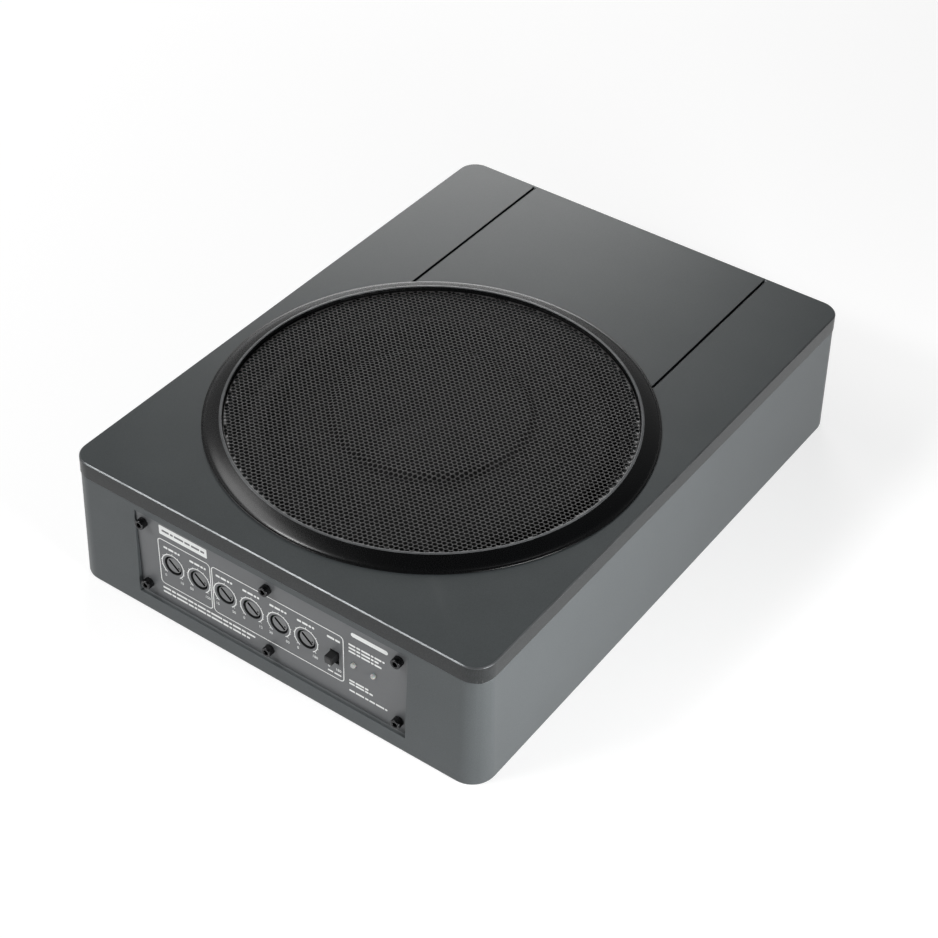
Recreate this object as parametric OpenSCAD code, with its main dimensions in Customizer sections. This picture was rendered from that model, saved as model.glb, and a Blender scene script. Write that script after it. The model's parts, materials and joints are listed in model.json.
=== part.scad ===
// Powered under-seat car subwoofer: a shallow cast enclosure with a screwed-on cover,
// a round grille over an eight-inch driver, a recessed control panel on the front short side
// (-Y), connectors in a pocket on the rear short side (+Y), and the amplifier inside.
// Units are millimetres. The origin is the centre of the underside, +Z is up.

/* [Enclosure] */
// Length along Y at the underside
base_len = 345; // [340:1:360]
// Width along X at the underside
base_wid = 252; // [248:1:270]
// Height from the underside to the flat top of the cover
body_h = 76.5; // [76:0.5:84]
// Draft of each wall over that height
wall_draft = 2; // [1:0.5:3]
// Radius of the vertical corners at the underside
corner_r = 13; // [12:0.5:15]
// Height of the cover's skirt
cover_h = 10; // [9:0.5:11]
// How far the cover stands out past the enclosure wall
cover_overhang = 0.35; // [0.2:0.05:0.5]
// Wall thickness of the castings
wall_t = 3; // [2.5:0.25:3.5]

/* [Grille] */
// Distance of the driver's axis in front of the centre
driver_y = -38.4; // [-40:0.2:-36]
// Outer radius of the grille ring
ring_r = 116.1; // [114:0.5:117]
// Radius of the visible grille
grille_r = 105.6; // [105:0.1:106]
// Height of the ring above the cover
ring_h = 4.6; // [4:0.1:5]
// Radius of the raised centre of the grille
emboss_r = 51; // [45:1:60]

/* [Front panel] */
// Half width of the panel recess
panel_half = 83; // [80:1:86]
// Lower edge of the recess
panel_z0 = 9.5; // [9:0.5:11]
// Upper edge of the recess
panel_z1 = 62.5; // [60:0.5:63]
// Distance between neighbouring knobs
knob_pitch = 16.75; // [16.5:0.05:17]
// Place of the first knob along X
knob_x0 = -60.9; // [-62:0.1:-60]
// Height of the knobs
knob_z = 36.6; // [36:0.1:38]
// Radius of a knob
knob_r = 4.5; // [4:0.1:4.8]

/* [Driver] */
// Outer radius of the basket flange
flange_r = 101.5; // [100:0.5:101.5]
// Outer radius of the cone
cone_r = 84; // [82:0.5:84]
// Radius of the magnet ring
magnet_r = 54; // [50:1:58]

/* [Hidden] */
$fn = 96;
eps = 0.01;

slope = wall_draft / body_h;
corner_x = base_wid / 2 - corner_r;
corner_y = base_len / 2 - corner_r;
part_z = body_h - cover_h;          // top of the enclosure wall
seal_t = 0.3;
cover_z = part_z + seal_t;          // lower edge of the cover's skirt
plate_z = body_h - wall_t;          // underside of the cover's flat top

// Radius of the drafted corner of the cover, and of the enclosure, at height z
function cover_corner(z) = corner_r - slope * z;
function wall_corner(z) = corner_r - (slope + cover_overhang / part_z) * z;

// Cover screws: four at the corners and four along the sides
cover_screw_xy = [
    for (sx = [-1, 1]) for (p = [[114, 159], [114, -159], [116.5, driver_y], [116.5, 62]])
        [sx * p[0], p[1]]
];
screw_boss_r = 4.5;
bracket_x = 95;                      // bracket holes in the underside
bracket_y = 130;
bracket_hole_r = 2.1;
bracket_hole_depth = 7.5;
bracket_boss_z = 9.5;

// Front panel stack, along Y
panel_y = -169.6;                    // front of the panel
panel_t = 1.6;
panel_back = panel_y + panel_t;
window_half = 73;
window_z0 = 22;
window_z1 = 51;
pad_y = -163;                        // inside face of the thickened front wall
pot_y = -164.8;                      // front of the potentiometer bodies
board_y = -158;                      // front of the control board
board_t = 1.6;
shaft_r = 3;
shaft_gap = 0.05;
knob_hole_r = 5.5;
panel_screw_x = [-78, 0, 78];
panel_screw_z = [16.5, 57];
lever_x = 39.9;
lever_z = 37;
lever_travel = 3;
light_x = [51.3, 63];
light_z = 37;
pillar_x = 67;
pillar_z = [27, 46.5];

// Rear pocket and panel, along Y
pocket_half = 96;
pocket_z0 = 10;
pocket_z1 = 60;
pocket_y = 159;                      // front face of the pocket's back wall
rear_t = 1.6;
rear_y = pocket_y + rear_t;          // outer face of the rear panel
rear_window_half = 86;
rear_window_z0 = 18;
rear_window_z1 = 52;
rear_screw_x = [-91, 91];
rear_screw_z = [15, 55];
pole_x = [-72, -60, -48];            // power terminal poles
pole_w = 12;
terminal_z0 = 24;
terminal_h = 24;
terminal_d = 10.5;
fuse_x = [-27, -15];
fuse_z = 36;
jack_x = [14, 32];
jack_z = 36;
level_x = 54;
remote_x = 76;

// Amplifier bay
bay_y = 69;                          // front face of the partition
bay_t = 2.5;
amp_z = 10;                          // underside of the amplifier board
amp_top = amp_z + board_t;
amp_half = 100;
amp_y0 = 76;
amp_y1 = 156;
standoff_xy = [for (x = [-94, 0, 94]) for (y = [81, 151]) [x, y]];
rail_x = -113;                       // inner face of the heat-sink rail
rail_y0 = 82;
rail_y1 = 153.5;
transistor_t = 4.5;
clamp_t = 2;
clamp_screw_y = [95, 118, 141];
transistor_y = [for (y = clamp_screw_y) for (side = [-1, 1]) y + 6.6 * side];

// Driver levels, along Z
ledge_z = 61;                        // underside of the baffle ledge
gasket_z = 64;                       // top of the ledge
flange_z = 65;                       // underside of the basket flange
flange_t = 1.5;
lip_z = flange_z + flange_t;
cone_z = 60;                         // underside of the cone's rim
cone_t = 0.9;
rim_r = 79;
neck_r = 20;
neck_z = 46;
coil_z0 = 23;
coil_z1 = 37;
former_r0 = 19.2;
former_r1 = 19.5;
coil_r1 = 20.1;
top_plate_z = 27;
plate_t = 6;
yoke_z = 5;
magnet_z = yoke_z + plate_t;
magnet_top = top_plate_z;
pole_r = 18.7;
plate_bore_r = 20.4;
basket_base_z = top_plate_z + plate_t;
spider_z = 44.6;
landing_r0 = 49;
landing_r1 = 57;
driver_screw_r = 98.2;
driver_screw_n = 8;
ring_screw_r = 111;
ring_screw_n = 6;
opening_r = 102;
collar_r = 105;
ledge_r = 93.6;
terminal_r = 95.8;                   // inner face of the terminal strip
// Route of each speaker wire: sideways shift, Y, Z
speaker_route = [
    [0, 63, 50], [0, 63, 45], [0, 63, 40], [0, 63.4, 35], [0, 65, 30], [0, 68.5, 27],
    [0, 73, 25.5], [-1, 78, 23.5], [-3, 82, 20], [-4, 84, 16], [-4, 84.5, amp_top]
];

// ---------- shared shapes ----------

// Block with rounded corners whose corner radius runs from r0 at z0 to r1 at z1
module drafted_block(z0, z1, r0, r1) {
    rotate([90, 0, 0])
        linear_extrude(2 * corner_y, center = true)
            polygon([[-corner_x - r0, z0], [corner_x + r0, z0],
                     [corner_x + r1, z1], [-corner_x - r1, z1]]);
    rotate([90, 0, 90])
        linear_extrude(2 * corner_x, center = true)
            polygon([[-corner_y - r0, z0], [corner_y + r0, z0],
                     [corner_y + r1, z1], [-corner_y - r1, z1]]);
    for (sx = [-1, 1]) for (sy = [-1, 1])
        translate([sx * corner_x, sy * corner_y, z0])
            cylinder(h = z1 - z0, r1 = r0, r2 = r1);
}

// Box given by its two corners
module span(a, b) {
    translate(a) cube(b - a);
}

// Cylinder along +Y, from y0 to y1
module rod_y(x, z, r, y0, y1) {
    translate([x, y0, z]) rotate([-90, 0, 0]) cylinder(h = y1 - y0, r = r);
}

// Ring on the Z axis
module ring(r0, r1, z0, z1) {
    translate([0, 0, z0]) difference() {
        cylinder(h = z1 - z0, r = r1);
        translate([0, 0, -1]) cylinder(h = z1 - z0 + 2, r = r0);
    }
}

// Moves its children to the driver's axis
module on_driver() {
    translate([0, driver_y, 0]) children();
}

// Copies its children n times round the Z axis at radius r, the first at angle a0
module round_copies(n, r, a0 = 0) {
    for (i = [0:n - 1]) rotate([0, 0, a0 + 360 * i / n]) translate([r, 0, 0]) children();
}

// Socket cap screw pointing along +Y: its head's front is at y = 0
module cap_screw_y(head_r, head_h, shank_r, shank_len, key) {
    rotate([-90, 0, 0]) difference() {
        union() {
            cylinder(h = head_h, r = head_r);
            translate([0, 0, head_h - eps]) cylinder(h = shank_len + eps, r = shank_r);
        }
        translate([0, 0, -1]) cylinder(h = 1 + head_h * 0.6, r = key / sqrt(3), $fn = 6);
    }
}

// Pan-head screw along +Z: its head's lower face is at z = 0
module pan_screw(head_r, head_h, shank_r, shank_len) {
    difference() {
        union() {
            cylinder(h = head_h, r = head_r);
            translate([0, 0, head_h - eps]) cylinder(h = shank_len + eps, r = shank_r);
        }
        for (a = [0, 90]) rotate([0, 0, a])
            translate([-head_r * 0.6, -0.5, -1]) cube([head_r * 1.2, 1, 1 + head_h * 0.5]);
    }
}

// Round wire swept along points: eight sides, cut square to the route at each point
function unit(v) = v / norm(v);
function heading(p, i) =
    i == 0 ? unit(p[1] - p[0]) :
    i == len(p) - 1 ? unit(p[i] - p[i - 1]) : unit(unit(p[i + 1] - p[i]) + unit(p[i] - p[i - 1]));
module wire(p, r, up = [0.13, 0.21, 0.97]) {
    n = 8;
    rings = [
        for (i = [0:len(p) - 1])
            let (t = heading(p, i), a = unit(cross(t, up)), b = cross(t, a))
                for (k = [0:n - 1])
                    p[i] + r * (a * cos(360 * k / n) + b * sin(360 * k / n))
    ];
    last = (len(p) - 1) * n;
    polyhedron(
        points = rings,
        faces = concat(
            [[for (k = [0:n - 1]) k]],
            [for (i = [0:len(p) - 2]) for (k = [0:n - 1])
                [i * n + k, (i + 1) * n + k, (i + 1) * n + (k + 1) % n, i * n + (k + 1) % n]],
            [[for (k = [0:n - 1]) last + n - 1 - k]]
        )
    );
}

// ---------- castings ----------

// Lower casting: floor, drafted walls, screw columns, partition, front pad and rear pocket
module enclosure() {
    color([0.30, 0.31, 0.31]) difference() {
        union() {
            difference() {
                drafted_block(0, part_z, wall_corner(0), wall_corner(part_z));
                drafted_block(wall_t, part_z + 1, wall_corner(wall_t) - wall_t,
                              wall_corner(part_z + 1) - wall_t);
            }
            for (p = cover_screw_xy) translate([p[0], p[1], wall_t - 1])
                cylinder(h = part_z - wall_t + 1, r = screw_boss_r);
            for (sx = [-1, 1]) for (sy = [-1, 1])
                translate([sx * bracket_x, sy * bracket_y, wall_t - 1])
                    cylinder(h = bracket_boss_z - wall_t + 1, r = 6);
            for (p = standoff_xy) translate([p[0], p[1], wall_t - 1])
                cylinder(h = amp_z - wall_t + 1, r = 3.5);
            span([-panel_half - 5, -base_len / 2 + wall_t, wall_t - 1],
                 [panel_half + 5, pad_y, part_z]);
            span([-121, bay_y, wall_t - 1], [121, bay_y + bay_t, part_z - 0.4]);
            span([-121, rail_y0, wall_t - 1], [rail_x, rail_y1, 34]);
            span([-pocket_half - wall_t, pocket_y - 2, pocket_z0 - wall_t],
                 [pocket_half + wall_t, base_len / 2 - wall_t, pocket_z1 + wall_t]);
        }
        // screw columns, counterbored from below
        for (p = cover_screw_xy) translate([p[0], p[1], -1]) {
            cylinder(h = body_h, r = 2.2);
            cylinder(h = 4.4, r = 3.9);
        }
        for (sx = [-1, 1]) for (sy = [-1, 1])
            translate([sx * bracket_x, sy * bracket_y, -1])
                cylinder(h = bracket_hole_depth + 1, r = bracket_hole_r);
        for (p = standoff_xy) translate([p[0], p[1], wall_t])
            cylinder(h = amp_z, r = 1.6);
        // front recess, window and screw holes
        span([-panel_half, -base_len / 2 - 2, panel_z0], [panel_half, panel_back, panel_z1]);
        span([-window_half, -base_len / 2, window_z0], [window_half, pad_y + 1, window_z1]);
        for (x = panel_screw_x) for (z = panel_screw_z)
            rod_y(x, z, 1.6, -base_len / 2, pad_y + 1);
        // rear pocket, window and screw holes
        span([-pocket_half, pocket_y, pocket_z0], [pocket_half, base_len / 2 + 2, pocket_z1]);
        span([-rear_window_half, pocket_y - 3, rear_window_z0],
             [rear_window_half, pocket_y + 1, rear_window_z1]);
        for (x = rear_screw_x) for (z = rear_screw_z) rod_y(x, z, 1.6, pocket_y - 3, pocket_y + 1);
        // notches for the ribbon and the speaker wires, and the rail's screw holes
        span([103, bay_y - 1, 18], [111, bay_y + bay_t + 1, 44]);
        span([-14, bay_y - 1, 20], [14, bay_y + bay_t + 1, 32]);
        for (y = clamp_screw_y) translate([rail_x - 6, y, 27]) rotate([0, 90, 0])
            cylinder(h = 7, r = 1.6);
    }
}

// Cover: flat top with two grooves, skirt, driver collar with its baffle ledge, screw bosses
module top_cover() {
    groove_x = 77;
    groove_w = 1.5;
    groove_d = 1.3;
    groove_y0 = 49.5;
    groove_y1 = 167.5;
    color([0.25, 0.27, 0.27]) difference() {
        union() {
            difference() {
                drafted_block(cover_z, body_h, cover_corner(cover_z), cover_corner(body_h));
                drafted_block(cover_z - 1, plate_z, cover_corner(cover_z) - wall_t + 0.4,
                              cover_corner(plate_z) - wall_t + 0.4);
            }
            for (p = cover_screw_xy) translate([p[0], p[1], cover_z])
                cylinder(h = wall_t + 5, r = screw_boss_r);
            on_driver() translate([0, 0, ledge_z]) cylinder(h = body_h - ledge_z - 1, r = collar_r);
        }
        on_driver() {
            translate([0, 0, gasket_z]) cylinder(h = body_h, r = opening_r);
            translate([0, 0, ledge_z - 1]) cylinder(h = body_h, r = ledge_r);
            round_copies(driver_screw_n, driver_screw_r, 22.5) translate([0, 0, ledge_z - 1])
                cylinder(h = 10, r = 1.7, $fn = 32);
            round_copies(ring_screw_n, ring_screw_r, 30) translate([0, 0, ledge_z])
                cylinder(h = body_h, r = 1.4, $fn = 32);
        }
        for (p = cover_screw_xy) translate([p[0], p[1], cover_z - 1])
            cylinder(h = body_h - cover_z - 0.6, r = 2.0);
        for (sx = [-1, 1]) {
            span([sx * groove_x - groove_w / 2, groove_y0, body_h - groove_d],
                 [sx * groove_x + groove_w / 2, groove_y1, body_h + 1]);
            for (y = [groove_y0, groove_y1]) translate([sx * groove_x, y, body_h - groove_d])
                cylinder(h = 3, r = groove_w / 2, $fn = 32);
        }
    }
}

// Flat rubber seal on the enclosure's rim
module cover_seal() {
    color([0.08, 0.08, 0.08]) difference() {
        drafted_block(part_z, cover_z, wall_corner(part_z) - 0.8, wall_corner(part_z) - 0.8);
        drafted_block(part_z - 1, cover_z + 1, wall_corner(part_z) - wall_t + 0.3,
                      wall_corner(part_z) - wall_t + 0.3);
        for (p = cover_screw_xy) translate([p[0], p[1], part_z - 1])
            cylinder(h = 3, r = screw_boss_r + 0.3);
    }
}

// Eight long screws that hold the cover, driven from below
module cover_screws() {
    color([0.15, 0.15, 0.16])
        for (p = cover_screw_xy) translate([p[0], p[1], 1])
            pan_screw(3.5, 2.4, 1.9, plate_z - 4.4);
}

// ---------- grille ----------

// Raised ring that clamps the grille to the cover
module grille_ring() {
    lip = body_h + ring_h;
    rebate_r = grille_r + 2.7;
    rebate_z = body_h + 1;
    color([0.13, 0.14, 0.15]) on_driver() difference() {
        rotate_extrude()
            polygon([[rebate_r, body_h], [ring_r, body_h], [ring_r, body_h + 0.5],
                     [ring_r - 1.6, body_h + 1.6], [ring_r - 5, body_h + 3],
                     [ring_r - 8.4, lip - 0.4], [ring_r - 9.4, lip], [grille_r + 0.4, lip],
                     [grille_r, lip - 0.4], [grille_r, rebate_z], [rebate_r, rebate_z]]);
        round_copies(ring_screw_n, ring_screw_r, 30) translate([0, 0, body_h - 1])
            cylinder(h = 2.9, r = 1.25, $fn = 32);
    }
}

// Sheet-metal grille: a flat dish with a raised centre and a clamped rim
module grille() {
    t = 0.8;
    top = body_h + 3.3;
    raise = 0.6;
    edge = grille_r - 0.4;
    color([0.10, 0.10, 0.10]) on_driver() rotate_extrude()
        polygon([[0, top + raise - t], [0, top + raise], [emboss_r - 0.6, top + raise],
                 [emboss_r + 0.6, top], [edge - 0.8, top], [edge, top - 0.8],
                 [edge, body_h + t], [grille_r + 2.4, body_h + t], [grille_r + 2.4, body_h],
                 [edge - t, body_h], [edge - t, top - 1.1], [edge - 1.1, top - t],
                 [emboss_r + 0.6, top - t], [emboss_r - 0.6, top + raise - t]]);
}

// Six small screws from below into the ring
module grille_ring_screws() {
    color([0.15, 0.15, 0.16]) on_driver()
        round_copies(ring_screw_n, ring_screw_r, 30) translate([0, 0, plate_z - 1.8])
            pan_screw(2.4, 1.8, 1.2, wall_t + 1.7, $fn = 32);
}

// ---------- driver ----------

// Pressed basket: flange, wall, spider landing and base, with six windows and a terminal ear
module driver_basket() {
    t = 1.4;
    wall_r = 94;
    shelf_r = 89;
    shelf_z = 47;
    color([0.16, 0.16, 0.17]) on_driver() difference() {
        union() {
            rotate_extrude()
                polygon([[flange_r, flange_z], [flange_r, lip_z], [wall_r - 2, lip_z],
                         [shelf_r - 1.6, shelf_z + t], [landing_r1, spider_z - 1.6 + t],
                         [landing_r0, spider_z - 1.6 + t], [landing_r0 - 1, basket_base_z + t],
                         [30, basket_base_z + t], [30, basket_base_z],
                         [landing_r0 + 0.6, basket_base_z], [landing_r0 + 1.6, spider_z - 1.6],
                         [landing_r1, spider_z - 1.6], [shelf_r, shelf_z],
                         [wall_r - 0.6, flange_z]]);
            span([-9, 90, 54], [9, terminal_r, 60]);
        }
        for (i = [0:5]) rotate([0, 0, 30 + 60 * i]) translate([0, 0, spider_z - 6])
            linear_extrude(14.4)
                polygon([[59, -13], [100, -22], [100, 22], [59, 13]]);
        round_copies(driver_screw_n, driver_screw_r, 22.5) translate([0, 0, flange_z - 1])
            cylinder(h = 4, r = 1.9, $fn = 32);
    }
}

// Foam gasket between the baffle ledge and the flange
module driver_gasket() {
    color([0.06, 0.06, 0.06]) on_driver() difference() {
        ring(ledge_r + 1.2, flange_r, gasket_z, flange_z);
        round_copies(driver_screw_n, driver_screw_r, 22.5) translate([0, 0, gasket_z - 1])
            cylinder(h = 3, r = 1.9, $fn = 32);
    }
}

// Eight screws that hold the driver to the ledge
module driver_screws() {
    color([0.2, 0.2, 0.21]) on_driver()
        round_copies(driver_screw_n, driver_screw_r, 22.5) translate([0, 0, lip_z + 1.8])
            mirror([0, 0, 1]) pan_screw(3, 1.8, 1.6, 5, $fn = 32);
}

// Rubber half-roll surround between the flange and the cone's rim
module surround() {
    roll_r = 5.6;
    roll_mid = 88.2;
    t = 0.7;
    color([0.09, 0.09, 0.09]) on_driver() rotate_extrude()
        polygon(concat(
            [[94.5, lip_z], [94.5, lip_z + t]],
            [for (a = [0:15:180])
                [roll_mid + roll_r * cos(a), lip_z + t + (roll_r - 0.2) * sin(a)]],
            [[rim_r + 3.2, cone_z + cone_t + 0.1 + t], [rim_r + 0.4, cone_z + cone_t + 0.1 + t],
             [rim_r + 0.4, cone_z + cone_t + 0.1], [rim_r + 4, cone_z + cone_t + 0.1]],
            [for (a = [180:-15:0])
                [roll_mid + (roll_r - t) * cos(a), lip_z + (roll_r - 0.2) * sin(a)]]
        ));
}

// Cone with a flat rim and a short neck
module cone() {
    color([0.12, 0.12, 0.12]) on_driver() rotate_extrude()
        polygon([[former_r1 + 0.1, neck_z], [neck_r + 0.6, neck_z], [rim_r, cone_z],
                 [cone_r - 0.5, cone_z], [cone_r - 0.5, cone_z + cone_t],
                 [rim_r - 0.4, cone_z + cone_t], [neck_r + 0.2, neck_z + cone_t + 0.3],
                 [former_r1 + 0.1, neck_z + cone_t + 0.3]]);
}

// Domed dust cap over the coil
module dust_cap() {
    foot_r = 30;
    foot_z = neck_z + (foot_r - neck_r) * (cone_z - neck_z) / (rim_r - neck_r) + cone_t + 0.6;
    rise = 5;
    dome_r = (foot_r * foot_r + rise * rise) / (2 * rise);
    color([0.10, 0.10, 0.10]) on_driver() translate([0, 0, foot_z + rise - dome_r])
        rotate_extrude() difference() {
            circle(r = dome_r, $fn = 180);
            circle(r = dome_r - 0.7, $fn = 180);
            translate([-2 * dome_r, -dome_r - 1]) square([2 * dome_r, 2 * dome_r + 2]);
            translate([-1, -dome_r - 1]) square([dome_r + 2, 2 * dome_r - rise + 1]);
        }
}

// Thin former that joins the coil to the cone
module coil_former() {
    color([0.72, 0.66, 0.45]) on_driver() ring(former_r0, former_r1, coil_z0, neck_z + 4);
}

// Winding on the former
module voice_coil() {
    color([0.72, 0.40, 0.22]) on_driver() ring(former_r1, coil_r1, coil_z0, coil_z1);
}

// Corrugated cloth spider
module spider() {
    t = 0.5;
    r0 = coil_r1 + 0.5;
    r1 = landing_r0 - 0.4;
    steps = 28;
    wave = 1.0;
    top = [for (i = [0:steps])
        [r0 + (r1 - r0) * i / steps, spider_z + wave * sin(360 * 7 * i / steps)]];
    color([0.75, 0.62, 0.30]) on_driver() rotate_extrude() polygon(concat(
        [for (p = top) p + [0, t / 2]],
        [[landing_r1 - 1, spider_z + t / 2], [landing_r1 - 1, spider_z - 0.2],
         [landing_r0 - 0.2, spider_z - 0.2]],
        [for (i = [steps:-1:0]) top[i] - [0, t / 2]]
    ));
}

// Steel front plate of the motor
module top_plate() {
    color([0.55, 0.55, 0.56]) on_driver()
        ring(plate_bore_r, magnet_r - 4, top_plate_z, top_plate_z + plate_t);
}

// Ferrite ring magnet
module magnet() {
    color([0.18, 0.18, 0.19]) on_driver() ring(24, magnet_r, magnet_z, magnet_top);
}

// Back plate and vented pole piece in one
module yoke() {
    color([0.50, 0.50, 0.51]) on_driver() difference() {
        union() {
            translate([0, 0, yoke_z]) cylinder(h = plate_t, r = magnet_r - 4);
            translate([0, 0, yoke_z]) cylinder(h = basket_base_z - yoke_z, r = pole_r);
        }
        translate([0, 0, yoke_z - 1]) cylinder(h = body_h, r = 6);
    }
}

// Terminal strip on the basket's ear
module driver_terminals() {
    y0 = driver_y + terminal_r;
    color([0.55, 0.38, 0.20]) span([-12, y0, 48], [12, y0 + 1.6, 60]);
    color([0.75, 0.70, 0.45]) for (sx = [-1, 1])
        span([sx * 7 - 2.4, y0 + 1.6, 50], [sx * 7 + 2.4, y0 + 8, 51]);
}

// Two flexible leads from the terminal strip to the cone
module lead_wires() {
    y0 = driver_y + 44;
    y1 = driver_y + terminal_r;
    z0 = 51.1;
    steps = 10;
    sag = 1.2;
    color([0.80, 0.55, 0.30]) for (sx = [-1, 1])
        wire([for (i = [0:steps]) let (s = i / steps)
                [sx * 7, y0 + (y1 - y0) * s, z0 + 0.3 * s - 4 * sag * s * (1 - s)]], 0.5);
}

// Two wires from the terminal strip down to the amplifier board
module speaker_wires() {
    for (sx = [-1, 1]) color(sx < 0 ? [0.45, 0.08, 0.08] : [0.06, 0.06, 0.06])
        wire([for (p = speaker_route) [sx * 7 + p[0], p[1], p[2]]], 0.8);
}

// ---------- front panel ----------

// Control panel plate
module control_panel() {
    gap = 0.25;
    color([0.42, 0.43, 0.44]) difference() {
        span([-panel_half + gap, panel_y, panel_z0 + gap],
             [panel_half - gap, panel_back, panel_z1 - gap]);
        for (i = [0:5])
            rod_y(knob_x0 + i * knob_pitch, knob_z, knob_hole_r, panel_y - 1, panel_back + 1);
        for (x = light_x) rod_y(x, light_z, 1.6, panel_y - 1, panel_back + 1);
        for (x = panel_screw_x) for (z = panel_screw_z)
            rod_y(x, z, 1.6, panel_y - 1, panel_back + 1);
        span([lever_x - 2.6, panel_y - 1, lever_z - 2.6 - lever_travel],
             [lever_x + 2.6, panel_back + 1, lever_z + 2.6]);
    }
}

// Six socket cap screws that hold the panel
module panel_screws() {
    head_h = 3.8;
    color([0.05, 0.05, 0.05]) for (x = panel_screw_x) for (z = panel_screw_z)
        translate([x, panel_y - head_h, z]) cap_screw_y(2.75, head_h, 1.5, 6, 2.6);
}

// Circuit board behind the panel
module control_board() {
    color([0.05, 0.25, 0.12]) difference() {
        span([-window_half + 1, board_y, window_z0 + 1],
             [window_half - 1, board_y + board_t, window_z1 - 1]);
        for (sx = [-1, 1]) for (z = pillar_z)
            rod_y(sx * pillar_x, z, 1.4, board_y - 1, board_y + board_t + 1);
    }
}

// Four hexagonal pillars between the panel and its board
module board_pillars() {
    color([0.75, 0.65, 0.35]) for (sx = [-1, 1]) for (z = pillar_z)
        translate([sx * pillar_x, panel_back, z]) rotate([-90, 0, 0]) {
            cylinder(h = board_y - panel_back, r = 2.3, $fn = 6);
            cylinder(h = board_y - panel_back + 3, r = 1.3);
        }
}

// Bodies of the six potentiometers
module potentiometers() {
    half = 5.2;
    color([0.12, 0.12, 0.13]) for (i = [0:5]) let (x = knob_x0 + i * knob_pitch) difference() {
        span([x - half, pot_y, knob_z - half], [x + half, board_y, knob_z + half]);
        rod_y(x, knob_z, shaft_r + shaft_gap, pot_y - 1, board_y - 0.8);
    }
}

// Knob i: slotted cap with its shaft, turned to the clockwise stop
module knob(i) {
    cap_y = panel_y + 0.7;
    cap_back = pot_y - 0.2;
    slot_w = 1.3;
    stop_turn = 40;
    color([0.38, 0.38, 0.39]) translate([knob_x0 + i * knob_pitch, 0, knob_z])
        rotate([0, stop_turn, 0]) difference() {
            union() {
                rod_y(0, 0, knob_r, cap_y, cap_back);
                rod_y(0, 0, shaft_r, cap_back - eps, board_y - 1);
            }
            span([-knob_r + 0.6, cap_y - 1, -slot_w / 2], [knob_r - 0.6, cap_y + 1, slot_w / 2]);
            rod_y(2.7, 1.7, 0.45, cap_y - 1, cap_y + 0.4, $fn = 24);
        }
}
module input_gain_knob() { knob(0); }
module low_pass_knob() { knob(1); }
module subsonic_knob() { knob(2); }
module boost_level_knob() { knob(3); }
module boost_frequency_knob() { knob(4); }
module phase_knob() { knob(5); }

// Slide switch body behind the panel
module phase_switch() {
    color([0.55, 0.56, 0.57]) difference() {
        span([lever_x - 4.2, pot_y + 0.4, lever_z - 10], [lever_x + 4.2, board_y, lever_z + 7]);
        span([lever_x - 2.3, pot_y - 1, lever_z - 2.3 - lever_travel],
             [lever_x + 2.3, board_y - 1.2, lever_z + 2.3]);
    }
}

// Switch lever, resting at the upper end of its slot
module phase_lever() {
    reach = 5.4;
    color([0.04, 0.04, 0.04])
        span([lever_x - 2.1, panel_y - reach, lever_z - 2.1],
             [lever_x + 2.1, board_y - 1.5, lever_z + 2.1]);
}

// Indicator light i: domed cap on a short stem
module light(i) {
    dome_r = 1.45;
    translate([light_x[i], 0, light_z]) {
        rod_y(0, 0, dome_r, panel_y - 0.2, board_y);
        translate([0, panel_y - 0.2, 0]) rotate([90, 0, 0]) rotate_extrude()
            intersection() {
                circle(r = dome_r);
                square(dome_r);
            }
        difference() {
            rod_y(0, 0, 2.4, panel_back + 1, board_y);
            rod_y(0, 0, dome_r - 0.2, panel_back, board_y + 1);
        }
    }
}
module power_light() { color([0.80, 0.82, 0.80]) light(0); }
module protection_light() { color([0.80, 0.80, 0.78]) light(1); }

// Flat ribbon cable along the right wall, from the control board to the amplifier board
module ribbon_cable() {
    t = 1.0;
    z0 = 24;
    z1 = 36;
    route = [[66, -154.4], [100, -150], [108, -138], [108, 76], [100, 84.6], [86, 84.6]];
    last = len(route) - 1;
    function left(v) = [-v[1], v[0]] / norm(v);
    // Point beside route point i, on the left for s = 1 and on the right for s = -1
    function beside(i, s) =
        let (a = left(route[max(i, 1)] - route[max(i, 1) - 1]),
             b = left(route[min(i + 1, last)] - route[min(i + 1, last) - 1]))
            route[i] + s * t / 2 * (a + b) / (1 + a * b);
    color([0.62, 0.63, 0.64]) translate([0, 0, z0]) linear_extrude(z1 - z0)
        polygon(concat([for (i = [0:last]) beside(i, 1)], [for (i = [last:-1:0]) beside(i, -1)]));
}

// The two headers that the ribbon plugs into
module ribbon_headers() {
    color([0.10, 0.10, 0.11]) {
        span([56, board_y + board_t, 23.5], [65.6, board_y + board_t + 4.5, 36.5]);
        span([76, 81.4, amp_top], [85.8, 87.8, 37]);
    }
}

// ---------- amplifier ----------

// Main circuit board
module amplifier_board() {
    color([0.05, 0.22, 0.12]) difference() {
        union() {
            span([-amp_half - 7, amp_y0, amp_z], [amp_half, amp_y1, amp_top]);
            span([rail_x + 0.5, rail_y0, amp_z], [-amp_half, rail_y1, amp_top]);
        }
        for (p = standoff_xy) translate([p[0], p[1], amp_z - 1]) cylinder(h = 4, r = 1.7);
    }
}

// Screws that hold the main board
module board_screws() {
    color([0.60, 0.60, 0.62]) for (p = standoff_xy) translate([p[0], p[1], amp_top + 1.8])
        mirror([0, 0, 1]) pan_screw(2.8, 1.8, 1.5, 6.5, $fn = 32);
}

// Four electrolytic capacitors
module filter_capacitors() {
    color([0.10, 0.12, 0.25]) for (x = [-84, -64]) for (y = [100, 122])
        translate([x, y, amp_top]) {
            cylinder(h = 26, r = 8);
            translate([0, 0, 26 - eps]) cylinder(h = 0.8, r1 = 8, r2 = 7.2);
        }
}

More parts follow.
